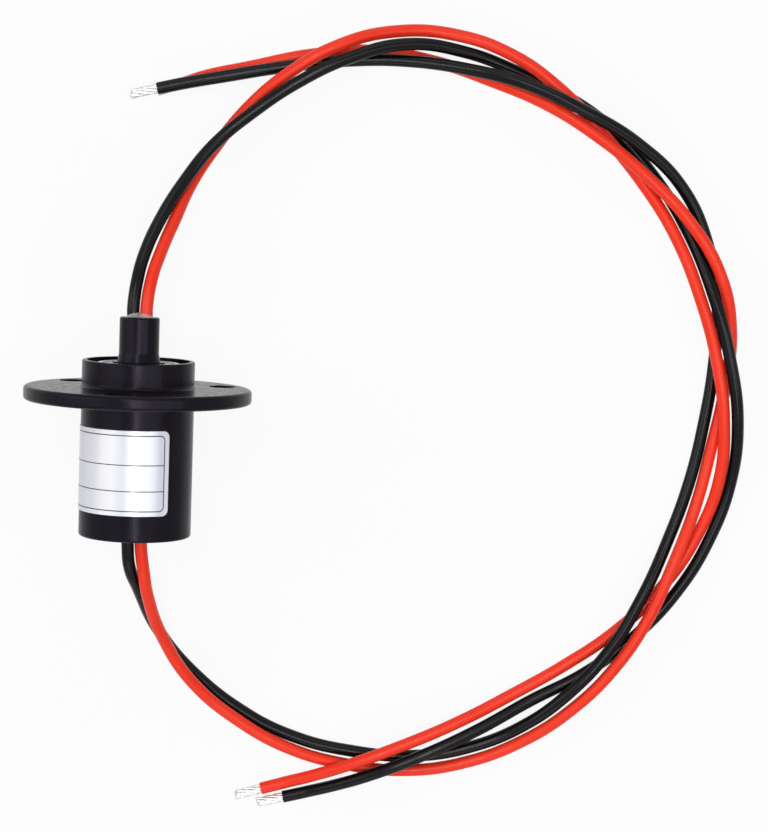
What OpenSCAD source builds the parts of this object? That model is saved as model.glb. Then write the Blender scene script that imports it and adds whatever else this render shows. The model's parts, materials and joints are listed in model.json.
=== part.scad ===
// Capsule slip ring with a mounting flange and two circuits.
// The axis lies along Y. The rotor stub and its leads point to +Y, the stator leads to -Y.
// The origin is the centre of the flange's barrel-side face. Sizes are in millimetres.

/* [Flange] */
// Diameter of the mounting flange
flange_d = 44.5; // [40:0.5:60]
// Thickness of the mounting flange
flange_t = 2.8; // [2:0.1:5]
// Rounding of the flange rim
flange_edge_r = 0.7; // [0.2:0.1:0.9]
// Diameter of the mounting holes
hole_d = 5.4; // [3:0.1:6]
// Distance from the flange's rim to a mounting hole's centre
hole_edge = 4.75; // [4:0.05:6]
// Number of mounting holes
hole_count = 3; // [2:1:6]
// Turn of the first mounting hole about the axis, in degrees (-90 is straight up)
hole_turn = -96; // [-180:1:180]

/* [Housing] */
// Diameter of the barrel and of the collar
barrel_d = 22; // [20:0.1:26]
// Wall of the barrel
barrel_wall = 1.8; // [1:0.1:2]
// Rounding of the barrel's rear edge
barrel_edge_r = 0.5; // [0.1:0.1:0.6]
// Fillet where the barrel and the collar meet the flange
root_r = 0.8; // [0.2:0.1:1.2]
// Height of the collar in front of the flange
collar_h = 5.2; // [5:0.1:8]
// Wall of the collar's rim round the bearing
rim_wall = 0.95; // [0.6:0.05:1]
// Depth of the recess inside the rim
recess_depth = 1.2; // [0.8:0.1:2]
// Rounding of the collar's rim
rim_edge_r = 0.3; // [0.1:0.05:0.4]

/* [Front bearing] */
// Bore of the front bearing, and the journal in it
front_bore = 8; // [7.6:0.1:8.8]
// Outside diameter of the front bearing
front_od = 16; // [14.5:0.1:17.5]
// Width of the front bearing
front_w = 5; // [4:0.1:5.5]
// Number of balls in the front bearing
front_balls = 9; // [6:1:12]
// How far the bearing's face lies below the rim
front_sink = 0.5; // [0.2:0.1:0.8]
// Thickness of the housing's step behind the bearing
shoulder_t = 1.5; // [1:0.1:2]

/* [Rear bearing] */
// Bore of the rear bearing, and the journal in it
rear_bore = 6; // [5.5:0.1:6.6]
// Width of the rear bearing
rear_w = 4; // [3.5:0.1:5]
// Number of balls in the rear bearing
rear_balls = 9; // [6:1:10]

/* [Rotor] */
// Diameter of the stub that drives the rotor
stub_d = 7.8; // [7.4:0.1:8]
// Length of the stub in front of the collar's rim
stub_len = 8.5; // [5:0.5:16]
// Rounding of the stub's mouth
stub_edge_r = 0.4; // [0.1:0.1:0.6]
// Step of the shaft's shoulder, which rests on the front bearing's inner ring
shoulder_step = 1.1; // [0.5:0.05:1.2]
// Step of the flare at the stub's foot
flare_step = 0.3; // [0.1:0.05:0.6]
// Width of each contact ring
ring_w = 3.5; // [3:0.1:6]
// Wall of each contact ring
ring_wall = 1.5; // [1:0.1:1.8]
// How far the barriers stand proud of the contact rings
ring_step = 0.8; // [0.5:0.05:1]
// Thickness of each barrier
barrier_t = 1.5; // [1:0.1:3]
// Length of the spacer between the front bearing and the first barrier
spacer_front_len = 3.5; // [3:0.1:6]
// Length of the spacer between the last barrier and the rear bearing
spacer_rear_len = 2.5; // [2:0.1:5]
// Wall of both spacers
spacer_wall = 0.75; // [0.5:0.05:0.9]
// Thickness of the retaining ring
clip_t = 0.6; // [0.4:0.1:0.8]

/* [Brushes] */
// Thickness of the bronze strip
strip_t = 0.4; // [0.2:0.05:0.5]
// Margin from a brush's edge to the edge of its contact ring
brush_margin = 0.55; // [0.3:0.05:0.8]
// Width of the tail that leads to the rear
tail_w = 2; // [1:0.1:2.4]
// Wall between the rear bearing's seat and the brush tails
seat_wall = 0.6; // [0.4:0.1:0.8]
// Running gap between a brush and its ring
brush_gap = 0.05; // [0.02:0.01:0.1]

/* [Rear end] */
// Room behind the rear bearing's seat for the conductors
wire_room = 4.9; // [4.5:0.1:12]
// Thickness of the rear cap
cap_t = 2; // [1.5:0.1:2.4]
// Step in the barrel's wall that the cap sits in
cap_step = 0.6; // [0.3:0.1:0.8]
// Thickness of the lip behind the rear bearing
lip_t = 0.6; // [0.4:0.1:0.8]

/* [Label] */
// Height of the label along the axis
label_h = 16.5; // [8:0.5:20]
// Distance from the flange to the label
label_gap = 4.8; // [2:0.1:6]
// Arc that the label covers, in degrees
label_arc = 143; // [60:1:180]
// Turn of the label's right edge about the axis, in degrees
label_turn = -50; // [-90:1:0]
// Thickness of the label
label_t = 0.12; // [0.05:0.01:0.2]
// Corner radius of the label
label_corner_r = 1.2; // [0.5:0.1:2]

/* [Leads] */
// Diameter of a lead over its insulation
lead_d = 2.5; // [1.5:0.1:2.6]
// Diameter of the bare strands
strand_d = 2; // [1:0.1:2.1]
// Length of the bare strands
strand_len = 5; // [3:0.5:10]
// Diameter of a bare connecting pin
pin_d = 1.2; // [0.6:0.1:1.6]
// Gap between the two leads of a pair where they leave
lead_gap = 0.1; // [0.1:0.05:0.3]
// How far the sealant stands proud of the stub and the cap
seal_proud = 0.4; // [0.1:0.1:1]
// Depth of the sealant in the stub
seal_depth = 2; // [1:0.5:4]

/* [Hidden] */

$fn = 96;
ARC_STEPS = 6;
LEAD_SIDES = 8;

BODY_BLACK = "#26242b";
STEEL = "#a7a9ad";
BRASS = "#c9a24a";
BRONZE = "#b87a3c";
INSULATOR = "#d9d2bd";
LEAD_RED = "#e8301c";
LEAD_BLACK = "#17171a";
TINNED = "#c4c4c6";
SEALANT = "#dfe3e4";
FOIL = "#c9ced6";

// Clearances and small steps
BORE_PLAY = 0.2;
OUTLET_PLAY = 0.35;
STRIP_CLEAR = 0.4;
STEP_BACK = 0.18;
NOSE_LEN = 0.6;
SHAFT_PAST_CLIP = 1;
SHAFT_CHAMFER = 0.3;

// Bearings: balls fill half of the section; shoulders, running play, cage and shield
BALL_SHARE = 0.5;
RACE_SHARE = 0.36;
BALL_PLAY = 0.03;
CAGE_PLAY = 0.08;
CAGE_T = 0.6;
CAGE_RIM = 0.4;
SHIELD_T = 0.3;
SHIELD_SINK = 0.25;
SHIELD_GAP = 0.12;
SHIELD_SEAT = 0.35;
PLATE_SINK = SHIELD_SINK + SHIELD_T;

// Clip groove, stub foot and conductor details
GROOVE_DEPTH = 0.3;
CLIP_WALL = 1.4;
CLIP_GAP = 1.6;
SHOULDER_H = 0.3;
FLARE_H = 1.6;
CORE_PAST_PIN = 0.8;
BORE_PAST_CORE = 1.2;

SLOT_PLAY = 0.1;

// A label's corner arc crosses the edges a little before it would touch them.
CORNER_SHARE = 0.95;

// Sealant in the rear outlet and the conductors behind the rear bearing
OUTLET_SEAL_DEPTH = 1.4;
CORE_PLAY = 0.1;
CORE_BEND_R = 1.9;
CORE_STRAIGHT = 0.2;

// Radii
flange_r = flange_d / 2;
barrel_r = barrel_d / 2;
hole_circle_r = flange_r - hole_edge;
cavity_r = barrel_r - barrel_wall;
cap_r = cavity_r + cap_step;
recess_r = barrel_r - rim_wall;
journal_r = front_bore / 2;
rear_journal_r = rear_bore / 2;
spacer_r = journal_r + spacer_wall;
lead_r = lead_d / 2;
lead_x = lead_r + lead_gap / 2;
bore_r = lead_x + lead_r + BORE_PLAY;
outlet_r = lead_x + lead_r + OUTLET_PLAY;

// From the shaft outwards: contact rings, barriers, bronze strip, the posts' flat faces, rear bearing
ring_r = journal_r + ring_wall;
barrier_r = ring_r + ring_step;
post_flat = barrier_r + STRIP_CLEAR + strip_t;
rear_od = 2 * (post_flat - strip_t - SLOT_PLAY - seat_wall);
brush_w = ring_w - 2 * brush_margin;

// Places along the axis, from the front to the rear
collar_top = flange_t + collar_h;
stub_top = collar_top + stub_len;
front_face = collar_top - front_sink;
front_back = front_face - front_w;
cavity_top = front_back - shoulder_t;
barrier_1_top = front_back - spacer_front_len;
ring_1_top = barrier_1_top - barrier_t;
barrier_2_top = ring_1_top - ring_w;
ring_2_top = barrier_2_top - barrier_t;
barrier_3_top = ring_2_top - ring_w;
spacer_2_top = barrier_3_top - barrier_t;
rear_front = spacer_2_top - spacer_rear_len;
rear_back = rear_front - rear_w;
holder_back = rear_back - lip_t;
clip_back = rear_back - clip_t;
shaft_end = clip_back - SHAFT_PAST_CLIP;
cap_top = holder_back - wire_room;
barrel_end = cap_top - cap_t;

ring_1_mid = ring_1_top - ring_w / 2;
ring_2_mid = ring_2_top - ring_w / 2;

// The housing's step holds the outer ring of the front bearing and clears its inner ring.
step_r = outer_race_r(front_bore, front_od) + STEP_BACK;

// A brush's fold: its arms stand beside the ring, its base lies on the post's flat face.
brush_base_half = 0.8 * ring_r;
brush_knee = 0.18 * ring_r;
brush_reach = 0.4 * ring_r;
brush_x = ring_r + brush_gap + strip_t / 2;
brush_base_y = post_flat - strip_t / 2;

// A conductor behind the rear bearing: two bends and their common tangent
core_d = lead_d - CORE_PLAY;
core_bend_start = holder_back - CORE_STRAIGHT;
core_bend_end = barrel_end + OUTLET_SEAL_DEPTH + CORE_PLAY;
core_room = core_bend_start - core_bend_end;
core_drop = brush_base_y - 2 * CORE_BEND_R;
core_bend = atan2(core_drop, core_room) + asin(2 * CORE_BEND_R / norm([core_drop, core_room]));

// Lead routes: hand-laid points, straight out of the exit, down, then along the surface.
// The lowest centre line is one lead radius above the surface that the flange's rim touches.
rotor_red_route = [
    [lead_x, stub_top, 0], [lead_x, stub_top + 2, 0], [2.1, 24.4, -1.2], [3.3, 28.9, -4],
    [5.5, 35.5, -9.3], [8.3, 43, -14.6], [12.7, 50.4, -17.5], [18.8, 58.2, -17.3],
    [26.7, 65.2, -15.8], [36.7, 71.2, -15.8], [48, 74.5, -18.6], [60.5, 74.2, -19.6],
    [71.6, 70.6, -18.8], [80.7, 64.7, -18.1], [90, 55.9, -18.9], [99, 46, -21],
    [106, 35.5, -19.5], [111.5, 23, -18], [115.4, 10.5, -18], [117.4, -1.5, -18],
    [117.2, -13.9, -19.5], [113.5, -25.5, -21], [106.7, -36.6, -21], [97.8, -45.9, -21],
    [87.7, -53.4, -21], [76.8, -60, -20.5], [65.8, -65.9, -19], [54.5, -71, -18],
    [43.5, -75.4, -17.8], [35.4, -78.6, -19.8], [30.4, -80.3, -21], [25.4, -81.8, -21]
];
rotor_black_route = [
    [-lead_x, stub_top, 0], [-lead_x, stub_top + 2, 0], [-0.7, 24, -0.9], [0.2, 28.4, -3],
    [2.8, 35.5, -7.5], [6.9, 43, -11.5], [12.4, 50.5, -13.8], [20.3, 57.5, -14.5],
    [28.8, 63.5, -14.3], [38.9, 68.7, -14.6], [50, 71.9, -16.6], [62.2, 70.9, -19.9],
    [73.6, 67.1, -21], [83, 62.8, -21], [91.6, 57.2, -21], [100.9, 47.8, -21],
    [108.3, 37, -20.7], [114, 23.9, -17.6], [118, 10.9, -17.3], [120.2, -1.6, -18],
    [119.7, -14.4, -20.5], [116, -26.3, -21], [109.8, -37.5, -21], [101.4, -47.2, -21],
    [91.6, -55.1, -21], [80.6, -61.2, -20.5], [69.5, -67.6, -19], [58.5, -73, -18],
    [47.4, -77.7, -18.2], [39.9, -80.6, -20.2], [35, -82.1, -21], [30, -83.4, -21]
];
stator_red_route = [
    [lead_x, barrel_end, 0], [lead_x, barrel_end - 2, 0], [1.9, -34, -1], [2.5, -39.2, -4],
    [5.1, -48.9, -11.2], [10.9, -58.9, -16.3], [20.4, -67.1, -18.7], [31, -72.8, -19.8],
    [42.6, -76, -21], [55, -76.9, -21], [67.5, -74.8, -21], [79, -69.9, -20.5],
    [88.8, -62.7, -19], [97.4, -53.3, -18], [104, -42.5, -18], [108.4, -31.5, -18],
    [112.7, -19.6, -20.2], [115.4, -7.4, -20.4], [117.6, 4.7, -20.6], [118.2, 16.9, -19.8],
    [115.4, 27.8, -18], [108.8, 38.2, -17.7], [99.6, 47.2, -17.7], [88.9, 55.1, -16.4],
    [79.2, 60.8, -18], [67.7, 65.4, -21], [56, 68.9, -21], [43.5, 70.6, -21],
    [31, 69.4, -21], [18.5, 66.5, -21], [10.1, 64.5, -21], [5.6, 62.9, -21]
];
stator_black_route = [
    [-lead_x, barrel_end, 0], [-lead_x, barrel_end - 2, 0], [-1, -32.8, -1.1], [0.4, -37.8, -5.2],
    [4, -48.1, -14.2], [10.7, -57.3, -19.3], [20.8, -65.4, -21], [31.9, -70.6, -21],
    [44, -73.2, -21], [56.3, -73.8, -21], [68.5, -71.5, -21], [79.5, -66.4, -20.5],
    [88.5, -58.7, -18.2], [96.2, -49.6, -18], [102.3, -38.6, -18.2], [107.3, -27.1, -20.5],
    [111.2, -15.1, -21], [113.7, -2.6, -21], [115.2, 9.9, -21], [115.3, 22.5, -21],
    [112.8, 34.1, -21], [107, 45.3, -19.8], [97.7, 53.6, -17.5], [86.4, 59.8, -15.4],
    [75, 64.6, -15.9], [63, 67.4, -18.1], [50.5, 68.7, -18.4], [38, 68.3, -18.4],
    [25.5, 66.6, -18.4], [13, 64.2, -18.4], [6, 62.8, -18.4], [0.5, 61.5, -18.4]
];

// ---- helpers ----

// Points on an arc about [x, y], from angle a to angle b
function arc(x, y, r, a, b) =
    [for (i = [0:ARC_STEPS]) [x + r * cos(a + (b - a) * i / ARC_STEPS), y + r * sin(a + (b - a) * i / ARC_STEPS)]];

function unit(v) = v / norm(v);

// Pitch radius, ball diameter and shoulder radii of a ball bearing
function pitch_r(bore, od) = (bore + od) / 4;
function ball_d(bore, od) = BALL_SHARE * (od - bore) / 2;
function inner_race_r(bore, od) = pitch_r(bore, od) - RACE_SHARE * ball_d(bore, od);
function outer_race_r(bore, od) = pitch_r(bore, od) + RACE_SHARE * ball_d(bore, od);

// Direction of a route at point i, the mean of its two neighbouring stretches
function heading(route, i) =
    let (a = max(i - 1, 0), b = min(i + 1, len(route) - 1))
    unit(route[b] - route[a]);

// One ring of a swept tube, square to the heading
function ring_points(centre, dir, r, sides, up) =
    let (u = unit(cross(dir, up)), v = cross(u, dir))
    [for (j = [0:sides - 1]) centre + r * (cos(360 * j / sides) * u + sin(360 * j / sides) * v)];

// Turns the lathe's axis, Z, onto the slip ring's axis, Y
module on_axis() {
    rotate([-90, 0, 0]) children();
}

// A tube of straight stretches between the route's points
module swept_tube(route, d, sides, up = [0, 0, 1]) {
    rings = len(route);
    points = [for (i = [0:rings - 1]) each ring_points(route[i], heading(route, i), d / 2, sides, up)];
    walls = [for (i = [0:rings - 2]) for (j = [0:sides - 1])
        [i * sides + j, i * sides + (j + 1) % sides, (i + 1) * sides + (j + 1) % sides, (i + 1) * sides + j]];
    start_cap = [for (j = [0:sides - 1]) sides - 1 - j];
    end_cap = [for (j = [0:sides - 1]) (rings - 1) * sides + j];
    polyhedron(points = points, faces = concat([start_cap], walls, [end_cap]));
}

// A round rod that goes on straight from a route's last point
module rod_after(route, length, d) {
    last = len(route) - 1;
    dir = heading(route, last);
    translate(route[last])
        rotate([0, acos(dir[2]), atan2(dir[1], dir[0])])
            cylinder(h = length, d = d, $fn = 32);
}

// A plain tube on the axis, its front face at top
module sleeve(top, length, outer_r, inner_r) {
    on_axis()
        translate([0, 0, top - length])
            difference() {
                cylinder(h = length, r = outer_r);
                translate([0, 0, -1]) cylinder(h = length + 2, r = inner_r);
            }
}

// ---- housing ----

module housing() {
    profile = concat(
        [[cap_r, barrel_end]],
        arc(barrel_r - barrel_edge_r, barrel_end + barrel_edge_r, barrel_edge_r, -90, 0),
        arc(barrel_r + root_r, -root_r, root_r, 180, 90),
        arc(flange_r - flange_edge_r, flange_edge_r, flange_edge_r, -90, 0),
        arc(flange_r - flange_edge_r, flange_t - flange_edge_r, flange_edge_r, 0, 90),
        arc(barrel_r + root_r, flange_t + root_r, root_r, -90, -180),
        arc(barrel_r - rim_edge_r, collar_top - rim_edge_r, rim_edge_r, 0, 90),
        [
            [recess_r, collar_top], [recess_r, collar_top - recess_depth],
            [front_od / 2, collar_top - recess_depth], [front_od / 2, front_back],
            [step_r, front_back], [step_r, cavity_top],
            [cavity_r, cavity_top], [cavity_r, cap_top], [cap_r, cap_top]
        ]
    );
    color(BODY_BLACK)
        on_axis()
            difference() {
                rotate_extrude() polygon(profile);
                for (i = [0:hole_count - 1])
                    rotate([0, 0, hole_turn + i * 360 / hole_count])
                        translate([hole_circle_r, 0, -1])
                            cylinder(h = flange_t + 2, d = hole_d);
            }
}

// Disc glued into the barrel's rear end, with the lead outlet in its middle
module rear_cap() {
    color(BODY_BLACK) sleeve(cap_top, cap_t, cap_r, outlet_r);
}

// Plug of sealant round two leads, its domed face on the side that the leads leave
module sealant(face, depth, r, outwards) {
    dome = concat(
        [[0, -depth], [r, -depth], [r, 0]],
        [for (i = [1:ARC_STEPS]) [r * cos(90 * i / ARC_STEPS), seal_proud * sin(90 * i / ARC_STEPS)]]
    );
    color(SEALANT)
        on_axis()
            translate([0, 0, face])
                mirror([0, 0, outwards > 0 ? 0 : 1])
                    difference() {
                        rotate_extrude() polygon(dome);
                        for (side = [-1, 1])
                            translate([side * lead_x, 0, -depth - 1])
                                cylinder(h = depth + seal_proud + 2, d = lead_d);
                    }
}

module outlet_seal() {
    sealant(barrel_end, OUTLET_SEAL_DEPTH, outlet_r, -1);
}

module mouth_seal() {
    sealant(stub_top, seal_depth, bore_r, 1);
}

// Foil label wrapped round the barrel, with round corners
module rating_label() {
    from = label_turn - label_arc;
    outer = barrel_r + label_t;
    inset = label_corner_r * CORNER_SHARE;
    inset_deg = asin(inset / barrel_r);
    color(FOIL)
        on_axis()
            difference() {
                translate([0, 0, -label_gap - label_h])
                    rotate([0, 0, from])
                        rotate_extrude(angle = label_arc)
                            translate([barrel_r, 0]) square([label_t, label_h]);
                for (end = [0, 1], edge = [0, 1])
                    rotate([0, 0, from + end * label_arc + (1 - 2 * end) * inset_deg])
                        translate([0, 0, -label_gap - label_h * edge - inset * (1 - 2 * edge)])
                            rotate([0, 90, 0])
                                mirror([0, end, 0])
                                    mirror([edge, 0, 0])
                                        label_corner_cut(outer);
            }
}

// What is taken off a label's corner: a square without its inner quarter disc
module label_corner_cut(reach) {
    over = label_corner_r * 2;
    difference() {
        translate([-over, -over, 0]) cube([over, over, reach + 1]);
        translate([0, 0, -1]) cylinder(h = reach + 3, r = label_corner_r);
    }
}

// ---- bearings ----

module bearing_outer(face, bore, od, w, shield_side) {
    race_r = outer_race_r(bore, od);
    seat_r = race_r + SHIELD_SEAT;
    color(STEEL)
        bearing_frame(face, w, shield_side)
            difference() {
                rotate_extrude()
                    polygon([
                        [race_r, -w / 2], [od / 2, -w / 2], [od / 2, w / 2], [seat_r, w / 2],
                        [seat_r, w / 2 - PLATE_SINK], [race_r, w / 2 - PLATE_SINK]
                    ]);
                race(bore, od);
            }
}

module bearing_inner(face, bore, od, w, shield_side) {
    color(STEEL)
        bearing_frame(face, w, shield_side)
            difference() {
                cylinder(h = w, r = inner_race_r(bore, od), center = true);
                cylinder(h = w + 2, d = bore, center = true);
                race(bore, od);
            }
}

module bearing_shield(face, bore, od, w, shield_side) {
    color(STEEL)
        bearing_frame(face, w, shield_side)
            translate([0, 0, w / 2 - PLATE_SINK])
                difference() {
                    cylinder(h = SHIELD_T, r = outer_race_r(bore, od) + SHIELD_SEAT);
                    translate([0, 0, -1]) cylinder(h = SHIELD_T + 2, r = inner_race_r(bore, od) + SHIELD_GAP);
                }
}

module bearing_balls(face, bore, od, w, count) {
    color("silver")
        bearing_frame(face, w, 1)
            at_balls(bore, od, count) sphere(d = ball_d(bore, od), $fn = 48);
}

module bearing_cage(face, bore, od, w, count) {
    ball_r = ball_d(bore, od) / 2;
    half_h = ball_r + CAGE_RIM;
    mid_r = pitch_r(bore, od);
    color(BRASS)
        bearing_frame(face, w, 1)
            difference() {
                cylinder(h = 2 * half_h, r = mid_r + CAGE_T / 2, center = true);
                cylinder(h = 2 * half_h + 2, r = mid_r - CAGE_T / 2, center = true);
                at_balls(bore, od, count)
                    rotate([0, 90, 0]) cylinder(h = 2 * CAGE_T, r = ball_r + CAGE_PLAY, center = true);
            }
}

// Centres a bearing behind its front face, the shield to the front (1) or to the rear (-1)
module bearing_frame(face, w, shield_side) {
    on_axis()
        translate([0, 0, face - w / 2])
            mirror([0, 0, shield_side > 0 ? 0 : 1])
                children();
}

module at_balls(bore, od, count) {
    for (i = [0:count - 1])
        rotate([0, 0, i * 360 / count])
            translate([pitch_r(bore, od), 0, 0])
                children();
}

// The ball track, a torus with running play
module race(bore, od) {
    rotate_extrude()
        translate([pitch_r(bore, od), 0])
            circle(r = ball_d(bore, od) / 2 + BALL_PLAY);
}

module front_bearing_outer() {
    bearing_outer(front_face, front_bore, front_od, front_w, 1);
}

module front_bearing_shield() {
    bearing_shield(front_face, front_bore, front_od, front_w, 1);
}

module front_bearing_cage() {
    bearing_cage(front_face, front_bore, front_od, front_w, front_balls);
}

module front_bearing_balls() {
    bearing_balls(front_face, front_bore, front_od, front_w, front_balls);
}

module front_bearing_inner() {
    bearing_inner(front_face, front_bore, front_od, front_w, 1);
}

module rear_bearing_outer() {
    bearing_outer(rear_front, rear_bore, rear_od, rear_w, -1);
}

module rear_bearing_shield() {
    bearing_shield(rear_front, rear_bore, rear_od, rear_w, -1);
}

module rear_bearing_cage() {
    bearing_cage(rear_front, rear_bore, rear_od, rear_w, rear_balls);
}

module rear_bearing_balls() {
    bearing_balls(rear_front, rear_bore, rear_od, rear_w, rear_balls);
}

module rear_bearing_inner() {
    bearing_inner(rear_front, rear_bore, rear_od, rear_w, -1);
}

// ---- brushes ----

// Seat of the rear bearing with two posts that carry the brushes
module brush_holder() {
    color(INSULATOR)
        on_axis()
            difference() {
                union() {
                    translate([0, 0, holder_back]) cylinder(h = rear_front - holder_back, r = cavity_r);
                    intersection() {
                        translate([0, 0, holder_back]) cylinder(h = cavity_top - holder_back, r = cavity_r);
                        for (side = [0, 1])
                            mirror([0, side, 0])
                                translate([-cavity_r, post_flat, holder_back])
                                    cube([2 * cavity_r, cavity_r, cavity_top - holder_back]);
                    }
                }
                translate([0, 0, rear_back]) cylinder(h = rear_w + 1, d = rear_od);
                translate([0, 0, holder_back - 1])
                    cylinder(h = lip_t + 2, r = outer_race_r(rear_bore, rear_od));
                for (side = [0, 1])
                    mirror([0, side, 0])
                        translate([-tail_w / 2 - SLOT_PLAY, post_flat - strip_t - SLOT_PLAY, holder_back - 1])
                            cube([tail_w + 2 * SLOT_PLAY, strip_t + SLOT_PLAY, rear_front - holder_back + 2]);
            }
}

// Folded bronze strip: two arms beside the ring, a base on the post and a tail to the rear
module brush(ring_mid, side) {
    fold = [
        [-brush_x, -brush_reach], [-brush_x, brush_knee], [-brush_base_half, brush_base_y],
        [brush_base_half, brush_base_y], [brush_x, brush_knee], [brush_x, -brush_reach]
    ];
    color(BRONZE)
        on_axis()
            mirror([0, side, 0]) {
                translate([0, 0, ring_mid - brush_w / 2])
                    linear_extrude(brush_w) strip(fold, strip_t);
                translate([-tail_w / 2, post_flat - strip_t, holder_back])
                    cube([tail_w, strip_t, ring_mid - holder_back]);
            }
}

// Flat strip of even thickness along a folded line
module strip(line, t) {
    for (i = [0:len(line) - 2]) {
        v = line[i + 1] - line[i];
        translate(line[i]) rotate(atan2(v[1], v[0])) translate([0, -t / 2]) square([norm(v), t]);
    }
    for (p = line) translate(p) circle(d = t, $fn = 24);
}

module brush_red() {
    brush(ring_1_mid, 1);
}

module brush_black() {
    brush(ring_2_mid, 0);
}

// Insulated conductor from a brush's tail to the outlet; up is 1 for the upper one
module stator_core(tint, up) {
    bends = concat(
        arc(core_bend_start, brush_base_y - CORE_BEND_R, CORE_BEND_R, 90, 90 + core_bend),
        arc(core_bend_end, CORE_BEND_R, CORE_BEND_R, core_bend - 90, -90)
    );
    route = concat(
        [[0, holder_back, up * brush_base_y]],
        [for (p = bends) [up * lead_x * sin(90 * (core_bend_start - p[0]) / core_room), p[0], up * p[1]]],
        [[up * lead_x, barrel_end, 0]]
    );
    color(tint) swept_tube(route, core_d, LEAD_SIDES, [1, 0, 0]);
}

module stator_core_red() {
    stator_core(LEAD_RED, 1);
}

module stator_core_black() {
    stator_core(LEAD_BLACK, -1);
}

// ---- rotor ----

module rotor_shaft() {
    groove_r = rear_journal_r - GROOVE_DEPTH;
    bore_end = ring_2_mid - BORE_PAST_CORE;
    profile = concat(
        [
            [0, shaft_end], [rear_journal_r - SHAFT_CHAMFER, shaft_end],
            [rear_journal_r, shaft_end + SHAFT_CHAMFER],
            [rear_journal_r, clip_back], [groove_r, clip_back], [groove_r, rear_back],
            [rear_journal_r, rear_back], [rear_journal_r, spacer_2_top],
            [journal_r, spacer_2_top], [journal_r, front_face],
            [journal_r + shoulder_step, front_face], [journal_r + shoulder_step, front_face + SHOULDER_H],
            [stub_d / 2 + flare_step, front_face + SHOULDER_H],
            [stub_d / 2, front_face + SHOULDER_H + FLARE_H]
        ],
        arc(stub_d / 2 - stub_edge_r, stub_top - stub_edge_r, stub_edge_r, 0, 90),
        [[bore_r, stub_top], [bore_r, bore_end], [0, bore_end]]
    );
    color(BODY_BLACK)
        on_axis()
            difference() {
                rotate_extrude() polygon(profile);
                translate([0, 0, ring_1_mid]) rotate([0, 90, 0]) cylinder(h = journal_r + 1, d = pin_d, $fn = 32);
                translate([0, 0, ring_2_mid]) rotate([0, -90, 0]) cylinder(h = journal_r + 1, d = pin_d, $fn = 32);
            }
}

module spacer_front() {
    color(STEEL) sleeve(front_back, spacer_front_len, spacer_r, journal_r);
}

// Turned with a nose that touches only the inner ring of the rear bearing
module spacer_rear() {
    nose_r = inner_race_r(rear_bore, rear_od);
    color(STEEL)
        on_axis()
            rotate_extrude()
                polygon([
                    [rear_journal_r, rear_front], [nose_r, rear_front], [nose_r, rear_front + NOSE_LEN],
                    [spacer_r, rear_front + NOSE_LEN], [spacer_r, spacer_2_top],
                    [rear_journal_r, spacer_2_top]
                ]);
}

module barrier(top) {
    color(INSULATOR) sleeve(top, barrier_t, barrier_r, journal_r);
}

module barrier_front() {
    barrier(barrier_1_top);
}

module barrier_middle() {
    barrier(barrier_2_top);
}

module barrier_rear() {
    barrier(barrier_3_top);
}

module contact_ring(top) {
    color(BRASS) sleeve(top, ring_w, ring_r, journal_r);
}

module contact_ring_red() {
    contact_ring(ring_1_top);
}

module contact_ring_black() {
    contact_ring(ring_2_top);
}

// Open ring snapped into the groove behind the rear bearing
module retaining_ring() {
    groove_r = rear_journal_r - GROOVE_DEPTH;
    color(STEEL)
        difference() {
            sleeve(rear_back, clip_t, groove_r + CLIP_WALL, groove_r);
            on_axis() translate([0, -CLIP_GAP / 2, clip_back - 1]) cube([rear_bore, CLIP_GAP, clip_t + 2]);
        }
}

// Insulated conductor inside the shaft, with its bare pin out to the contact ring
module rotor_core(tint, side, ring_mid) {
    core_end = ring_mid - CORE_PAST_PIN;
    color(tint)
        on_axis()
            intersection() {
                union() {
                    translate([side * lead_x, 0, core_end])
                        cylinder(h = stub_top - core_end, d = lead_d, $fn = 48);
                    translate([side * lead_x, 0, ring_mid])
                        rotate([0, side * 90, 0]) cylinder(h = journal_r, d = pin_d, $fn = 32);
                }
                translate([0, 0, core_end]) cylinder(h = stub_top - core_end, r = journal_r);
            }
}

module rotor_core_red() {
    rotor_core(LEAD_RED, 1, ring_1_mid);
}

module rotor_core_black() {
    rotor_core(LEAD_BLACK, -1, ring_2_mid);
}

// ---- free leads and their bare ends ----

module lead(tint, route) {
    color(tint) swept_tube(route, lead_d, LEAD_SIDES);
}

module bare_end(route) {
    color(TINNED) rod_after(route, strand_len, strand_d);
}

module rotor_lead_red() {
    lead(LEAD_RED, rotor_red_route);
}

module rotor_lead_black() {
    lead(LEAD_BLACK, rotor_black_route);
}

module stator_lead_red() {
    lead(LEAD_RED, stator_red_route);
}

module stator_lead_black() {
    lead(LEAD_BLACK, stator_black_route);
}

module rotor_tip_red() {
    bare_end(rotor_red_route);
}

module rotor_tip_black() {
    bare_end(rotor_black_route);
}

module stator_tip_red() {
    bare_end(stator_red_route);
}

module stator_tip_black() {
    bare_end(stator_black_route);
}

housing();
rear_cap();
outlet_seal();
rating_label();
front_bearing_outer();
front_bearing_shield();
front_bearing_cage();
front_bearing_balls();
front_bearing_inner();
rear_bearing_outer();
rear_bearing_shield();
rear_bearing_cage();
rear_bearing_balls();
rear_bearing_inner();
brush_holder();
brush_red();
brush_black();
stator_core_red();
stator_core_black();
rotor_shaft();
spacer_front();
barrier_front();
contact_ring_red();
barrier_middle();
contact_ring_black();
barrier_rear();
spacer_rear();
retaining_ring();
mouth_seal();
rotor_core_red();
rotor_core_black();
rotor_lead_red();
rotor_lead_black();
rotor_tip_red();
rotor_tip_black();
stator_lead_red();
stator_lead_black();
stator_tip_red();
stator_tip_black();
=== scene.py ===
"""A miniature capsule slip ring lying on its side, with two leads at each end."""

import json
import math

import bmesh
import bpy
from mathutils import Matrix, Vector


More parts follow.
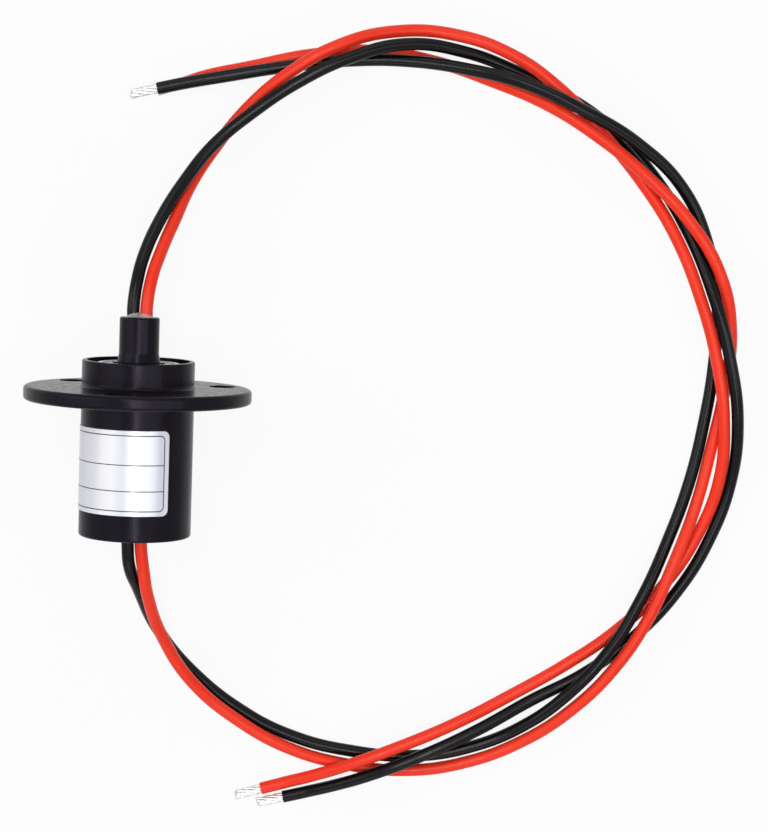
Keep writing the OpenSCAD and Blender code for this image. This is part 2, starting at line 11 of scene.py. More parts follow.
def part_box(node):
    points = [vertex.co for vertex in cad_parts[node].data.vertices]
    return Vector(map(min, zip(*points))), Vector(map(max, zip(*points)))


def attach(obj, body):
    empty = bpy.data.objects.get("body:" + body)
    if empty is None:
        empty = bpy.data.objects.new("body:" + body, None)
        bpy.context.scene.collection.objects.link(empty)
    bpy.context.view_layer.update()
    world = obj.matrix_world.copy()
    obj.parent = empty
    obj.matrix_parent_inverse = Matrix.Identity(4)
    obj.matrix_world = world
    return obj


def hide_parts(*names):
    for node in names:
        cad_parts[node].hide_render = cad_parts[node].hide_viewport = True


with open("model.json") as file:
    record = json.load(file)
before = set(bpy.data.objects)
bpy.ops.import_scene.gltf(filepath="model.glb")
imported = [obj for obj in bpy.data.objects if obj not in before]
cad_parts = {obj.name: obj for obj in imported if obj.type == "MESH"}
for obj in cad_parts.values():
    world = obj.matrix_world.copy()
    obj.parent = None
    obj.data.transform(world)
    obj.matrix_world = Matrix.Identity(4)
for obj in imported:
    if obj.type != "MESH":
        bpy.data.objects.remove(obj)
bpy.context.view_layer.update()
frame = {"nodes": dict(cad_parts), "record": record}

MM = 0.001
AXIS = Vector((0, 1, 0))
FLOOR_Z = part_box("housing")[0].z

LEAD_D = 2.5 * MM
STRAND_BUNDLE_D = 2.0 * MM
BARREL_R = 11.0 * MM
STUB_MOUTH_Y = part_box("rotor_shaft")[1].y
BARREL_END_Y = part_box("housing")[0].y

# ---------------------------------------------------------------- lead routes

ROTOR_RED_ROUTE = [
    (1.3, 16.5, 0), (1.3, 18.5, 0), (2.1, 24.4, -1.2), (3.3, 28.9, -4),
    (5.5, 35.5, -9.3), (8.3, 43, -14.6), (12.7, 50.4, -17.5), (18.8, 58.2, -17.3),
    (26.7, 65.2, -15.8), (36.7, 71.2, -15.8), (48, 74.5, -18.6), (60.5, 74.2, -19.6),
    (71.6, 70.6, -18.8), (80.7, 64.7, -18.1), (90, 55.9, -18.9), (99, 46, -21),
    (106, 35.5, -19.5), (111.5, 23, -18), (115.4, 10.5, -18), (117.4, -1.5, -18),
    (117.2, -13.9, -19.5), (113.5, -25.5, -21), (106.7, -36.6, -21), (97.8, -45.9, -21),
    (87.7, -53.4, -21), (76.8, -60, -20.5), (65.8, -65.9, -19), (54.5, -71, -18),
    (43.5, -75.4, -17.8), (35.4, -78.6, -19.8), (30.4, -80.3, -21), (25.4, -81.8, -21),
]
ROTOR_BLACK_ROUTE = [
    (-1.3, 16.5, 0), (-1.3, 18.5, 0), (-0.7, 24, -0.9), (0.2, 28.4, -3),
    (2.8, 35.5, -7.5), (6.9, 43, -11.5), (12.4, 50.5, -13.8), (20.3, 57.5, -14.5),
    (28.8, 63.5, -14.3), (38.9, 68.7, -14.6), (50, 71.9, -16.6), (62.2, 70.9, -19.9),
    (73.6, 67.1, -21), (83, 62.8, -21), (91.6, 57.2, -21), (100.9, 47.8, -21),
    (108.3, 37, -20.7), (114, 23.9, -17.6), (118, 10.9, -17.3), (120.2, -1.6, -18),
    (119.7, -14.4, -20.5), (116, -26.3, -21), (109.8, -37.5, -21), (101.4, -47.2, -21),
    (91.6, -55.1, -21), (80.6, -61.2, -20.5), (69.5, -67.6, -19), (58.5, -73, -18),
    (47.4, -77.7, -18.2), (39.9, -80.6, -20.2), (35, -82.1, -21), (30, -83.4, -21),
]
STATOR_RED_ROUTE = [
    (1.3, -26.5, 0), (1.3, -28.5, 0), (1.9, -34, -1), (2.5, -39.2, -4),
    (5.1, -48.9, -11.2), (10.9, -58.9, -16.3), (20.4, -67.1, -18.7), (31, -72.8, -19.8),
    (42.6, -76, -21), (55, -76.9, -21), (67.5, -74.8, -21), (79, -69.9, -20.5),
    (88.8, -62.7, -19), (97.4, -53.3, -18), (104, -42.5, -18), (108.4, -31.5, -18),
    (112.7, -19.6, -20.2), (115.4, -7.4, -20.4), (117.6, 4.7, -20.6), (118.2, 16.9, -19.8),
    (115.4, 27.8, -18), (108.8, 38.2, -17.7), (99.6, 47.2, -17.7), (88.9, 55.1, -16.4),
    (79.2, 60.8, -18), (67.7, 65.4, -21), (56, 68.9, -21), (43.5, 70.6, -21),
    (31, 69.4, -21), (18.5, 66.5, -21), (10.1, 64.5, -21), (5.6, 62.9, -21),
]
STATOR_BLACK_ROUTE = [
    (-1.3, -26.5, 0), (-1.3, -28.5, 0), (-1, -32.8, -1.1), (0.4, -37.8, -5.2),
    (4, -48.1, -14.2), (10.7, -57.3, -19.3), (20.8, -65.4, -21), (31.9, -70.6, -21),
    (44, -73.2, -21), (56.3, -73.8, -21), (68.5, -71.5, -21), (79.5, -66.4, -20.5),
    (88.5, -58.7, -18.2), (96.2, -49.6, -18), (102.3, -38.6, -18.2), (107.3, -27.1, -20.5),
    (111.2, -15.1, -21), (113.7, -2.6, -21), (115.2, 9.9, -21), (115.3, 22.5, -21),
    (112.8, 34.1, -21), (107, 45.3, -19.8), (97.7, 53.6, -17.5), (86.4, 59.8, -15.4),
    (75, 64.6, -15.9), (63, 67.4, -18.1), (50.5, 68.7, -18.4), (38, 68.3, -18.4),
    (25.5, 66.6, -18.4), (13, 64.2, -18.4), (6, 62.8, -18.4), (0.5, 61.5, -18.4),
]


def smooth_route(points, steps=10, reach=0.39):
    """Bends a route of listed points into one soft line that never sinks below the floor."""
    corner = [Vector(p) * MM for p in points]
    lowest = FLOOR_Z + LEAD_D / 2
    heading = []
    for i in range(len(corner)):
        before = corner[i] - corner[i - 1] if i else corner[1] - corner[0]
        after = corner[i + 1] - corner[i] if i + 1 < len(corner) else before
        heading.append((before.normalized() + after.normalized()).normalized())
    line = []
    for a, b, da, db in zip(corner, corner[1:], heading, heading[1:]):
        pull = (b - a).length * reach
        for k in range(steps):
            t = k / steps
            p = (
                (1 - t) ** 3 * a
                + 3 * (1 - t) ** 2 * t * (a + da * pull)
                + 3 * (1 - t) * t**2 * (b - db * pull)
                + t**3 * b
            )
            line.append(p)
    line.append(corner[-1])
    for p in line:
        p.z = max(p.z, lowest)
    return line


# ---------------------------------------------------------------- materials


class Shade:
    """Builds one procedural material, node by node."""

    def __init__(self, name):
        self.material = bpy.data.materials.new(name)
        self.material.use_nodes = True
        self.tree = self.material.node_tree
        self.surface = self.tree.nodes["Principled BSDF"]
        self.place = self.tree.nodes.new("ShaderNodeTexCoord").outputs["Object"]

    def node(self, kind, **sockets):
        made = self.tree.nodes.new(kind)
        for name, value in sockets.items():
            socket = made.inputs[name.replace("_", " ")]
            if isinstance(value, bpy.types.NodeSocket):
                self.tree.links.new(value, socket)
            else:
                socket.default_value = value
        return made

    def link(self, source, name):
        self.tree.links.new(source, self.surface.inputs[name])

    def set(self, **sockets):
        for name, value in sockets.items():
            self.surface.inputs[name.replace("_", " ")].default_value = value

    def stretch(self, scale, source=None):
        """Object coordinates drawn out by a scale on each axis."""
        made = self.node("ShaderNodeMapping", Vector=source or self.place)
        made.inputs["Scale"].default_value = scale
        return made.outputs["Vector"]

    def noise(self, scale, detail=3, rough=0.55, source=None, distortion=0.0):
        made = self.node("ShaderNodeTexNoise", Vector=source or self.place)
        made.inputs["Scale"].default_value = scale
        made.inputs["Detail"].default_value = detail
        made.inputs["Roughness"].default_value = rough
        made.inputs["Distortion"].default_value = distortion
        return made.outputs["Fac"]

    def ramp(self, source, stops):
        made = self.node("ShaderNodeValToRGB", Fac=source)
        painted_reflection_band = made.color_ramp
        while len(painted_reflection_band.elements) < len(stops):
            painted_reflection_band.elements.new(0.5)
        for element, (place, colour) in zip(painted_reflection_band.elements, stops):
            element.position = place
            element.color = (*colour, 1) if len(colour) == 3 else colour
        return made.outputs["Color"]

    def spread(self, source, low, high, from_low=0.3, from_high=0.7):
        """Maps a noise's useful span onto low to high."""
        made = self.node("ShaderNodeMapRange", Value=source)
        for name, value in (("From Min", from_low), ("From Max", from_high), ("To Min", low), ("To Max", high)):
            made.inputs[name].default_value = value
        return made.outputs["Result"]

    def bump(self, source, height, strength=1.0, under=None):
        made = self.node("ShaderNodeBump", Height=source)
        made.inputs["Strength"].default_value = strength
        made.inputs["Distance"].default_value = height
        if under is not None:
            self.tree.links.new(under, made.inputs["Normal"])
        return made.outputs["Normal"]


def moulded_black():
    """Dark moulded plastic: fine grain, faint mould marks, rubbed patches."""
    m = Shade("moulded_black_plastic")
    cloud = m.noise(180, 4)
    grain = m.noise(5200, 3, 0.6)
    drag = m.noise(900, 4, 0.6, m.stretch((1, 0.12, 1)))
    m.link(m.ramp(cloud, [(0.3, (0.0034, 0.0026, 0.0050)), (0.7, (0.0058, 0.0046, 0.0082))]), "Base Color")
    m.link(m.spread(drag, 0.19, 0.33), "Roughness")
    m.link(m.bump(grain, 0.00002, 0.5, m.bump(drag, 0.00003, 0.35)), "Normal")
    m.set(IOR=1.49, Specular_IOR_Level=0.11, Specular_Tint=(0.88, 0.80, 1.0, 1))
    return m.material


def lead_insulation(name, dark, light, rough_low, rough_high, gloss):
    """Extruded insulation: glossy, with handling marks."""
    m = Shade(name)
    cloud = m.noise(90, 3)
    haze = m.noise(700, 4, 0.6)
    skin = m.noise(1500, 3, 0.5)
    m.link(m.ramp(cloud, [(0.3, dark), (0.7, light)]), "Base Color")
    m.link(m.spread(haze, rough_low, rough_high), "Roughness")
    m.link(m.bump(skin, 0.00002, 0.25), "Normal")
    m.set(IOR=1.5, Specular_IOR_Level=gloss)
    return m.material


def ground_steel(name, colour, rough):
    m = Shade(name)
    turned = m.noise(2600, 3, 0.6, m.stretch((1, 0.2, 1)))
    dull = m.noise(300, 3)
    pale = tuple(min(1, c * 1.15) for c in colour)
    m.link(m.ramp(dull, [(0.3, colour), (0.7, pale)]), "Base Color")
    m.link(m.spread(turned, rough * 0.8, rough * 1.3), "Roughness")
    m.link(m.bump(turned, 0.00001, 0.3), "Normal")
    m.set(Metallic=1.0)
    return m.material


def tinned_strand():
    m = Shade("tinned_copper_strand")
    bloom = m.noise(1400, 3)
    scuff = m.noise(4200, 3, 0.6)
    m.link(m.ramp(bloom, [(0.3, (0.52, 0.51, 0.49)), (0.7, (0.80, 0.80, 0.79))]), "Base Color")
    m.link(m.spread(scuff, 0.22, 0.42), "Roughness")
    m.link(m.bump(scuff, 0.00001, 0.4), "Normal")
    m.set(Metallic=1.0)
    return m.material


def insulating_resin():
    m = Shade("insulating_resin")
    cloud = m.noise(260, 4)
    grain = m.noise(4200, 3)
    m.link(m.ramp(cloud, [(0.3, (0.50, 0.45, 0.34)), (0.7, (0.62, 0.57, 0.45))]), "Base Color")
    m.link(m.spread(grain, 0.45, 0.6), "Roughness")
    m.link(m.bump(grain, 0.00002, 0.4), "Normal")
    return m.material


def clear_glue():
    m = Shade("clear_glue")
    cloud = m.noise(800, 3)
    m.link(m.ramp(cloud, [(0.35, (0.72, 0.74, 0.75)), (0.65, (0.90, 0.91, 0.92))]), "Base Color")
    m.link(m.spread(m.noise(1800, 3), 0.06, 0.16), "Roughness")
    m.link(m.bump(m.noise(1500, 3), 0.00006, 0.5), "Normal")
    m.set(Transmission_Weight=0.55, IOR=1.45)
    return m.material


def black_ink():
    m = Shade("label_ink")
    patch = m.noise(2500, 3)
    m.link(m.ramp(patch, [(0.3, (0.012, 0.012, 0.014)), (0.75, (0.04, 0.04, 0.045))]), "Base Color")
    m.link(m.spread(patch, 0.35, 0.5), "Roughness")
    return m.material


def label_foil():
    """Brushed silver foil; the soft grey-blue bands along the barrel are painted reflection stripes in its colour.
    """
    m = Shade("label_foil")
    brushed = m.noise(2400, 3, 0.6, m.stretch((1, 0.06, 1)))
    # painted reflection: grey-blue colour bands running along the barrel stand in for the foil's reflection stripes
    painted_reflection_band = m.noise(160, 2, 0.5, m.stretch((1, 0.02, 1)))
    m.link(m.ramp(painted_reflection_band, [(0.35, (0.58, 0.60, 0.69)), (0.5, (0.74, 0.75, 0.80)), (0.66, (0.84, 0.84, 0.87))]), "Base Color")
    m.link(m.spread(brushed, 0.28, 0.42), "Roughness")
    m.link(m.bump(brushed, 0.000006, 0.4), "Normal")
    m.set(Metallic=0.3)
    return m.material


def label_edge():
    m = Shade("label_white_edge")
    fibre = m.noise(1800, 3)
    m.link(m.ramp(fibre, [(0.3, (0.78, 0.79, 0.81)), (0.7, (0.88, 0.89, 0.90))]), "Base Color")
    m.link(m.spread(fibre, 0.35, 0.5), "Roughness")
    return m.material


BLACK_PLASTIC = moulded_black()
RED_INSULATION = lead_insulation("red_insulation", (0.93, 0.034, 0.010), (0.98, 0.046, 0.016), 0.30, 0.42, 0.24)
BLACK_INSULATION = lead_insulation("black_insulation", (0.0024, 0.0024, 0.0034), (0.0046, 0.0046, 0.0062), 0.18, 0.28, 0.14)
BEARING_STEEL = ground_steel("bearing_steel", (0.46, 0.47, 0.50), 0.32)
BALL_STEEL = ground_steel("ball_steel", (0.72, 0.72, 0.74), 0.08)
CAGE_BRASS = ground_steel("cage_brass", (0.68, 0.47, 0.18), 0.32)
RING_BRASS = ground_steel("ring_brass", (0.83, 0.62, 0.26), 0.18)
BRUSH_BRONZE = ground_steel("brush_bronze", (0.60, 0.34, 0.15), 0.28)
TINNED_STRAND = tinned_strand()
INSULATING_RESIN = insulating_resin()
CLEAR_GLUE = clear_glue()
LABEL_FOIL = label_foil()
LABEL_EDGE = label_edge()
LABEL_INK = black_ink()

FINISH_OF_SLOT = {
    "body_black": BLACK_PLASTIC,
    "bearing_steel": BEARING_STEEL,
    "ball_steel": BALL_STEEL,
    "cage_brass": CAGE_BRASS,
    "ring_brass": RING_BRASS,
    "brush_bronze": BRUSH_BRONZE,
    "insulator": INSULATING_RESIN,
    "label_foil": LABEL_FOIL,
    "lead_red": RED_INSULATION,
    "lead_black": BLACK_INSULATION,
    "tinned_copper": TINNED_STRAND,
    "sealant": CLEAR_GLUE,
}


def dress_cad_nodes():
    """Gives every CAD node the finish of its material slot."""
    for part in frame["record"]["subparts"]:
        mesh = frame["nodes"][part["node"]].data
        mesh.materials.clear()
        mesh.materials.append(FINISH_OF_SLOT[part["material_slot"]])


# ---------------------------------------------------------------- meshes


def new_piece(name, build, *finishes, smooth=True):
    """A mesh object made by build(bm), with its place in its mesh."""
    mesh = bpy.data.meshes.new(name)
    shape = bmesh.new()
    build(shape)
    bmesh.ops.recalc_face_normals(shape, faces=shape.faces)
    shape.to_mesh(mesh)
    shape.free()
    for finish in finishes:
        mesh.materials.append(finish)
    for face in mesh.polygons:
        face.use_smooth = smooth
    piece = bpy.data.objects.new(name, mesh)
    bpy.context.scene.collection.objects.link(piece)
    return piece


def frame_along(direction, up=Vector((0, 0, 1))):
    """Two unit vectors square to direction and to each other."""
    side = direction.cross(up).normalized()
    return side, side.cross(direction).normalized()


# ---------------------------------------------------------------- leads


def lay_lead(name, route, finish, body, node):
    """One insulated lead on its smooth line."""
    line = smooth_route(route)
    curve = bpy.data.curves.new(name, "CURVE")
    curve.dimensions = "3D"
    curve.bevel_depth = LEAD_D / 2
    curve.bevel_resolution = 8
    curve.use_fill_caps = True
    spline = curve.splines.new("POLY")
    spline.points.add(len(line) - 1)
    for point, place in zip(spline.points, line):
        point.co = (*place, 1)
    curve.materials.append(finish)
    lead = bpy.data.objects.new(name, curve)
    bpy.context.scene.collection.objects.link(lead)
    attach(lead, body)
    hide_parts(node)
    return lead, line


def strand_tree():
    """Geometry Nodes: a bundle of strands, each one a helix, laid along Z."""
    tree = bpy.data.node_groups.new("strand_bundle", "GeometryNodeTree")
    face = tree.interface
    for kind, name, value in (
        ("NodeSocketFloat", "Bundle Radius", 0.00066),
        ("NodeSocketFloat", "Strand Radius", 0.00032),
        ("NodeSocketFloat", "Length", 0.005),
        ("NodeSocketFloat", "Turns", 0.6),
        ("NodeSocketInt", "Strands", 6),
    ):
        face.new_socket(name, in_out="INPUT", socket_type=kind).default_value = value
    face.new_socket("Finish", in_out="INPUT", socket_type="NodeSocketMaterial")
    face.new_socket("Bundle", in_out="OUTPUT", socket_type="NodeSocketGeometry")
    add, link = tree.nodes.new, tree.links.new
    given, made = add("NodeGroupInput"), add("NodeGroupOutput")

    helix = add("GeometryNodeCurveSpiral")
    helix.inputs["Resolution"].default_value = 28
    link(given.outputs["Turns"], helix.inputs["Rotations"])
    link(given.outputs["Bundle Radius"], helix.inputs["Start Radius"])
    link(given.outputs["Bundle Radius"], helix.inputs["End Radius"])
    link(given.outputs["Length"], helix.inputs["Height"])

    section = add("GeometryNodeCurvePrimitiveCircle")
    section.inputs["Resolution"].default_value = 12
    link(given.outputs["Strand Radius"], section.inputs["Radius"])
    strand = add("GeometryNodeCurveToMesh")
    strand.inputs["Fill Caps"].default_value = True
    link(helix.outputs["Curve"], strand.inputs["Curve"])
    link(section.outputs["Curve"], strand.inputs["Profile Curve"])

    seats = add("GeometryNodeMeshLine")
    link(given.outputs["Strands"], seats.inputs["Count"])
    seats.inputs["Offset"].default_value = (0, 0, 0)
    step = add("ShaderNodeMath")
    step.operation = "DIVIDE"
    step.inputs[0].default_value = math.tau
    link(given.outputs["Strands"], step.inputs[1])
    turn = add("ShaderNodeMath")
    turn.operation = "MULTIPLY"
    link(add("GeometryNodeInputIndex").outputs["Index"], turn.inputs[0])
    link(step.outputs["Value"], turn.inputs[1])
    spin = add("ShaderNodeCombineXYZ")
    link(turn.outputs["Value"], spin.inputs["Z"])
    place = add("GeometryNodeInstanceOnPoints")
    link(seats.outputs["Mesh"], place.inputs["Points"])
    link(strand.outputs["Mesh"], place.inputs["Instance"])
    link(spin.outputs["Vector"], place.inputs["Rotation"])

    core = add("GeometryNodeMeshCylinder")
    core.inputs["Vertices"].default_value = 16
    link(given.outputs["Strand Radius"], core.inputs["Radius"])
    link(given.outputs["Length"], core.inputs["Depth"])
    half = add("ShaderNodeMath")
    half.operation = "MULTIPLY"
    half.inputs[1].default_value = 0.5
    link(given.outputs["Length"], half.inputs[0])
    lift = add("ShaderNodeCombineXYZ")
    link(half.outputs["Value"], lift.inputs["Z"])
    centred = add("GeometryNodeTransform")
    link(core.outputs["Mesh"], centred.inputs["Geometry"])
    link(lift.outputs["Vector"], centred.inputs["Translation"])

    both = add("GeometryNodeJoinGeometry")
    real = add("GeometryNodeRealizeInstances")
    coat = add("GeometryNodeSetMaterial")
    link(place.outputs["Instances"], both.inputs["Geometry"])
    link(centred.outputs["Mesh" if "Mesh" in centred.outputs else "Geometry"], both.inputs["Geometry"])
    link(both.outputs["Geometry"], real.inputs["Geometry"])
    link(real.outputs["Geometry"], coat.inputs["Geometry"])
    link(given.outputs["Finish"], coat.inputs["Material"])
    link(coat.outputs["Geometry"], made.inputs["Bundle"])
    return tree


def grow(name, tree, **sizes):
    """Runs a Geometry Nodes tree and keeps its result as a plain mesh object."""
    host = bpy.data.objects.new(name + "_host", bpy.data.meshes.new(name + "_host"))
    bpy.context.scene.collection.objects.link(host)
    modifier = host.modifiers.new("grow", "NODES")
    modifier.node_group = tree
    sockets = {i.name: i.identifier for i in tree.interface.items_tree if i.in_out == "INPUT"}
    for size, value in sizes.items():
        modifier[sockets[size.replace("_", " ")]] = value
    ready = host.evaluated_get(bpy.context.evaluated_depsgraph_get())
    mesh = bpy.data.meshes.new_from_object(ready)
    mesh.name = name
    bpy.data.objects.remove(host)
    piece = bpy.data.objects.new(name, mesh)
    bpy.context.scene.collection.objects.link(piece)
    return piece


def slant_cut(mesh, point, normal):
    """Cuts a mesh by a plane and closes every strand's end."""
    shape = bmesh.new()
    shape.from_mesh(mesh)
    bmesh.ops.remove_doubles(shape, verts=shape.verts, dist=1e-8)
    everything = list(shape.verts) + list(shape.edges) + list(shape.faces)
    bmesh.ops.bisect_plane(shape, geom=everything, plane_co=point, plane_no=normal, clear_outer=True)
    open_edges = [e for e in shape.edges if e.is_boundary]
    bmesh.ops.holes_fill(shape, edges=open_edges)
    bmesh.ops.recalc_face_normals(shape, faces=shape.faces)
    shape.to_mesh(mesh)
    shape.free()


def bare_strands(name, line, body, node, tree, turns, slant):
    """The twisted bare end that goes on from a lead's cut insulation."""
    start, along = line[-1], (line[-1] - line[-2]).normalized()
    inside, length = 1.5 * MM, 5.6 * MM
    bundle = grow(
        name, tree, Bundle_Radius=0.64 * MM, Strand_Radius=0.345 * MM,
        Length=inside + length, Turns=turns, Strands=6, Finish=TINNED_STRAND,
    )
    side, up = frame_along(along)
    turn = Matrix((side, up, along)).transposed().to_4x4()
    bundle.data.transform(Matrix.Translation(start - along * inside) @ turn)
    tip = start + along * (length - 0.1 * MM)
    cut = (along + side * slant[0] + up * slant[1]).normalized()
    slant_cut(bundle.data, tip, cut)
    for face in bundle.data.polygons:
        face.use_smooth = True
    bundle.data.set_sharp_from_angle(angle=math.radians(50))
    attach(bundle, body)
    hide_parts(node)
    return bundle


def lay_all_leads():
    strands = strand_tree()
    plan = [
        ("rotor_red", ROTOR_RED_ROUTE, RED_INSULATION, "rotor", (0.5, 0.5)),
        ("rotor_black", ROTOR_BLACK_ROUTE, BLACK_INSULATION, "rotor", (-0.4, 0.5)),
        ("stator_red", STATOR_RED_ROUTE, RED_INSULATION, "stator", (0.3, 0.3)),
        ("stator_black", STATOR_BLACK_ROUTE, BLACK_INSULATION, "stator", (0.6, 0.4)),
    ]
    for pair, route, finish, body, slant in plan:
        end, colour = pair.split("_")
        lead, line = lay_lead(f"{end}_{colour}_lead", route, finish, body, f"{end}_lead_{colour}")
        tip = bare_strands(f"{end}_{colour}_strands", line, body, f"{end}_tip_{colour}", strands, 0.55, slant)


# ---------------------------------------------------------------- label

LABEL_TOP_Y = -4.8 * MM
LABEL_BOTTOM_Y = -21.3 * MM
LABEL_LEFT = math.radians(-103)
LABEL_RIGHT = math.radians(40)
LABEL_THICK = 0.12 * MM
LABEL_CORNER = 1.2 * MM


def on_barrel(along, y, lift):
    """A place on the barrel: along is the arc length from straight up, towards +X."""
    angle = along / BARREL_R
    radius = BARREL_R + lift
    return Vector((radius * math.sin(angle), y, radius * math.cos(angle)))


def rounded_outline(left, right, bottom, top, corner, steps=6, pitch=0.4 * MM):
    """Outline of a rounded rectangle with evenly spaced points on its long sides."""
    points = []
    centres = [
        (right - corner, top - corner, 0), (left + corner, top - corner, 90),
        (left + corner, bottom + corner, 180), (right - corner, bottom + corner, 270),
    ]
    arcs = [
        [
            (x + corner * math.cos(math.radians(a + 90 * k / steps)), y + corner * math.sin(math.radians(a + 90 * k / steps)))
            for k in range(steps + 1)
        ]
        for x, y, a in centres
    ]
    for here, after in zip(arcs, arcs[1:] + arcs[:1]):
        points += here
        (x0, y0), (x1, y1) = here[-1], after[0]
        count = max(1, int(math.hypot(x1 - x0, y1 - y0) / pitch))
        points += [(x0 + (x1 - x0) * k / count, y0 + (y1 - y0) * k / count) for k in range(1, count)]
    return points


def label_sheet(shape):
    """The foil: a closed thin sheet wrapped on the barrel."""
    left, right = LABEL_LEFT * BARREL_R, LABEL_RIGHT * BARREL_R
    outline = rounded_outline(left, right, LABEL_BOTTOM_Y, LABEL_TOP_Y, LABEL_CORNER)
    flat = [shape.verts.new((x, y, 0)) for x, y in outline]
    shape.faces.new(flat)
    columns = int((right - left) / (0.4 * MM))
    for k in range(1, columns):
        geometry = list(shape.verts) + list(shape.edges) + list(shape.faces)
        bmesh.ops.bisect_plane(
            shape, geom=geometry, plane_co=(left + (right - left) * k / columns, 0, 0), plane_no=(1, 0, 0), dist=1e-7
        )
    grown = bmesh.ops.extrude_face_region(shape, geom=list(shape.faces))["geom"]
    for vert in (v for v in grown if isinstance(v, bmesh.types.BMVert)):
        vert.co.z = LABEL_THICK
    for vert in shape.verts:
        vert.co = on_barrel(vert.co.x, vert.co.y, vert.co.z)


def ink_strip(shape, path, width, closed, lift=LABEL_THICK):
    """A printed line of even width along a path on the label, as a thin closed band."""
    count = len(path)
    rims = []
    for i, (x, y) in enumerate(path):
        before = path[i - 1] if closed or i else path[i]
        after = path[(i + 1) % count] if closed or i + 1 < count else path[i]
        along = Vector((after[0] - before[0], after[1] - before[1])).normalized()
        across = Vector((-along.y, along.x)) * width / 2
        rims.append([
            shape.verts.new(on_barrel(x + s * across.x, y + s * across.y, lift + h))
            for s, h in ((-1, -0.01 * MM), (1, -0.01 * MM), (1, 0.02 * MM), (-1, 0.02 * MM))
        ])
    spans = list(zip(rims, rims[1:])) + ([(rims[-1], rims[0])] if closed else [])
    for a, b in spans:
        for k in range(4):
            shape.faces.new((a[k], a[(k + 1) % 4], b[(k + 1) % 4], b[k]))
    if not closed:
        shape.faces.new(rims[0])
        shape.faces.new(list(reversed(rims[-1])))


def label_print(shape):
    """Border and two dividers."""
    left, right = LABEL_LEFT * BARREL_R + 1.1 * MM, LABEL_RIGHT * BARREL_R - 1.0 * MM
    bottom, top = LABEL_BOTTOM_Y + 0.95 * MM, LABEL_TOP_Y - 0.95 * MM
    ink_strip(shape, rounded_outline(left, right, bottom, top, 0.9 * MM), 0.2 * MM, True)
    for y in (-11.45 * MM, -16.5 * MM):
        row = [(left + (right - left) * k / 60, y) for k in range(61)]
        ink_strip(shape, row, 0.18 * MM, False)


def stick_label():
    foil = new_piece("rating_label_foil", label_sheet, LABEL_FOIL)
    foil.data.set_sharp_from_angle(angle=math.radians(40))
    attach(foil, "stator")
    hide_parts("rating_label")
    ink = new_piece("rating_label_print", label_print, LABEL_INK, smooth=False)
    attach(ink, "stator")


# ---------------------------------------------------------------- glue


def glue_dome(shape, centre_y, outward, radius, proud, seed):
    """Glue that filled a round mouth and crept a little way up the two leads."""
    rings, sides = 14, 48
    rows = []
    for i in range(rings + 1):
        r = radius * i / rings
        row = []
        for j in range(sides):
            angle = math.tau * j / sides
            x, z = r * math.cos(angle), r * math.sin(angle)
            near = min(math.hypot(x - s * 1.3 * MM, z) for s in (-1, 1))
            creep = math.exp(-(((near - LEAD_D / 2) / (0.42 * MM)) ** 2)) * proud
            ripple = 0.12 * proud * math.sin(3 * angle + seed) * (r / radius)
            fall = (1 - (r / radius) ** 4)
            row.append((x, centre_y + outward * (creep * fall + ripple * fall + 0.1 * proud * fall), z))
            if i == 0:
                break
        rows.append(row)
    made = [[shape.verts.new(p) for p in row] for row in rows]
    foot = [shape.verts.new((x, centre_y - outward * 1.2 * MM, z)) for x, _, z in rows[-1]]
    made.append(foot)
    for j in range(sides):
        shape.faces.new((made[0][0], made[1][j], made[1][(j + 1) % sides]))
    for a, b in zip(made[1:], made[2:]):
        for j in range(sides):
            shape.faces.new((a[j], b[j], b[(j + 1) % sides], a[(j + 1) % sides]))
    shape.faces.new(foot)


def seal_mouths():
    mouth = new_piece(
        "mouth_glue", lambda s: glue_dome(s, STUB_MOUTH_Y, 1, 2.72 * MM, 0.8 * MM, 0.7), CLEAR_GLUE
    )
    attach(mouth, "rotor")
    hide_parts("mouth_seal")
    outlet = new_piece(
        "outlet_glue", lambda s: glue_dome(s, BARREL_END_Y, -1, 2.87 * MM, 0.6 * MM, 2.1), CLEAR_GLUE
    )
    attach(outlet, "stator")
    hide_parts("outlet_seal")


# ---------------------------------------------------------------- studio


def rays_that_see(tree):
    """1 for a ray that shows its surroundings: to the camera, in a gloss or through glass."""
    rays = tree.nodes.new("ShaderNodeLightPath")
    seen = rays.outputs["Is Camera Ray"]
    for kind in ("Is Glossy Ray", "Is Transmission Ray"):
        either = tree.nodes.new("ShaderNodeMath")
        either.operation = "MAXIMUM"
        tree.links.new(seen, either.inputs[0])
        tree.links.new(rays.outputs[kind], either.inputs[1])
        seen = either.outputs["Value"]
    return seen


def pale_floor():
    """A floor that reads as plain white and still takes the object's soft shadow."""
    mesh = bpy.data.meshes.new("floor")
    half = 2.5
    corners = [(-half, -half, FLOOR_Z), (half, -half, FLOOR_Z), (half, half, FLOOR_Z), (-half, half, FLOOR_Z)]
    mesh.from_pydata(corners, [], [(0, 1, 2, 3)])
    floor = bpy.data.objects.new("floor", mesh)
    bpy.context.scene.collection.objects.link(floor)
    material = bpy.data.materials.new("floor_white")
    material.use_nodes = True
    tree = material.node_tree
    tree.nodes.clear()
    out = tree.nodes.new("ShaderNodeOutputMaterial")
    matte = tree.nodes.new("ShaderNodeBsdfDiffuse")
    matte.inputs["Color"].default_value = (0.86, 0.86, 0.865, 1)
    glow = tree.nodes.new("ShaderNodeEmission")
    glow.inputs["Color"].default_value = (1, 1, 1, 1)
    share = tree.nodes.new("ShaderNodeMath")
    share.operation = "MULTIPLY"
    share.inputs[1].default_value = 0.9
    tree.links.new(rays_that_see(tree), share.inputs[0])
    mix = tree.nodes.new("ShaderNodeMixShader")
    tree.links.new(share.outputs["Value"], mix.inputs["Fac"])
    tree.links.new(matte.outputs["BSDF"], mix.inputs[1])
    tree.links.new(glow.outputs["Emission"], mix.inputs[2])
    tree.links.new(mix.outputs["Shader"], out.inputs["Surface"])
    mesh.materials.append(material)


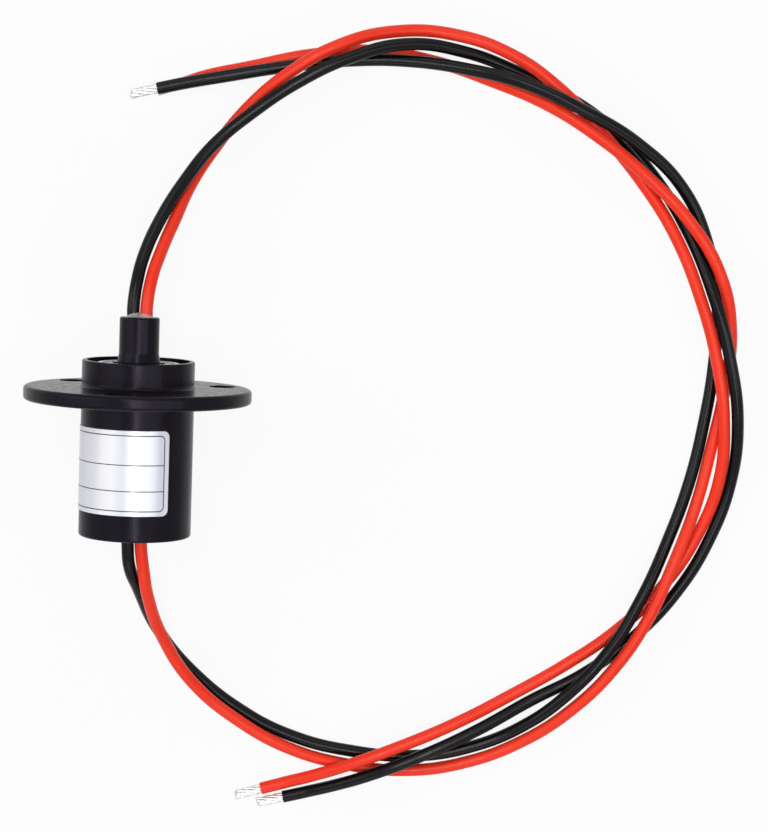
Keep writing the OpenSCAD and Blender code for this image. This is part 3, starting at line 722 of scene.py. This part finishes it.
def white_world():
    world = bpy.data.worlds.new("studio")
    bpy.context.scene.world = world
    world.use_nodes = True
    tree = world.node_tree
    tree.nodes.clear()
    out = tree.nodes.new("ShaderNodeOutputWorld")
    light = tree.nodes.new("ShaderNodeBackground")
    light.inputs["Color"].default_value = (1, 1, 1, 1)
    light.inputs["Strength"].default_value = 0.15
    seen = tree.nodes.new("ShaderNodeBackground")
    seen.inputs["Color"].default_value = (1, 1, 1, 1)
    seen.inputs["Strength"].default_value = 1.0
    mix = tree.nodes.new("ShaderNodeMixShader")
    tree.links.new(rays_that_see(tree), mix.inputs["Fac"])
    tree.links.new(light.outputs["Background"], mix.inputs[1])
    tree.links.new(seen.outputs["Background"], mix.inputs[2])
    tree.links.new(mix.outputs["Shader"], out.inputs["Surface"])


def soft_lamp(name, place, target, width, height, power, colour=(1, 1, 1)):
    data = bpy.data.lights.new(name, "AREA")
    data.shape = "RECTANGLE"
    data.size, data.size_y = width, height
    data.energy = power
    data.color = colour
    lamp = bpy.data.objects.new(name, data)
    bpy.context.scene.collection.objects.link(lamp)
    lamp.location = place
    look = Vector(target) - Vector(place)
    lamp.rotation_euler = look.to_track_quat("-Z", "Y").to_euler()
    return lamp


def light_studio():
    target = (0.03, 0, 0)
    soft_lamp("top_softbox", (0.01, 0.05, 0.75), target, 0.08, 0.7, 2.4)
    soft_lamp("left_softbox", (-0.65, 0.1, 0.55), target, 0.3, 0.8, 1.9)
    soft_lamp("right_softbox", (0.42, 0, 0.72), target, 0.12, 0.7, 1.3)
    soft_lamp("front_fill", (0.05, -0.7, 0.5), target, 0.7, 0.3, 1.2)
    soft_lamp("back_fill", (0.05, 0.8, 0.45), target, 0.7, 0.3, 1.2)


def place_camera():
    data = bpy.data.cameras.new("camera")
    data.sensor_fit = "HORIZONTAL"
    data.sensor_width = 36
    data.lens = 112.5
    data.clip_start, data.clip_end = 0.01, 20
    camera = bpy.data.objects.new("camera", data)
    bpy.context.scene.collection.objects.link(camera)
    right = Vector((0.99941, 0.0343, -0.0033)).normalized()
    back = Vector((0, 0.0946, 0.9955)).normalized()
    up = back.cross(right).normalized()
    right = up.cross(back).normalized()
    camera.matrix_world = Matrix.Translation((0.04828, 0.04321, 0.46792)) @ Matrix((right, up, back)).transposed().to_4x4()
    bpy.context.scene.camera = camera


dress_cad_nodes()
lay_all_leads()
stick_label()
seal_mouths()
pale_floor()
white_world()
light_studio()
place_camera()
bpy.context.scene.view_settings.view_transform = "Standard"
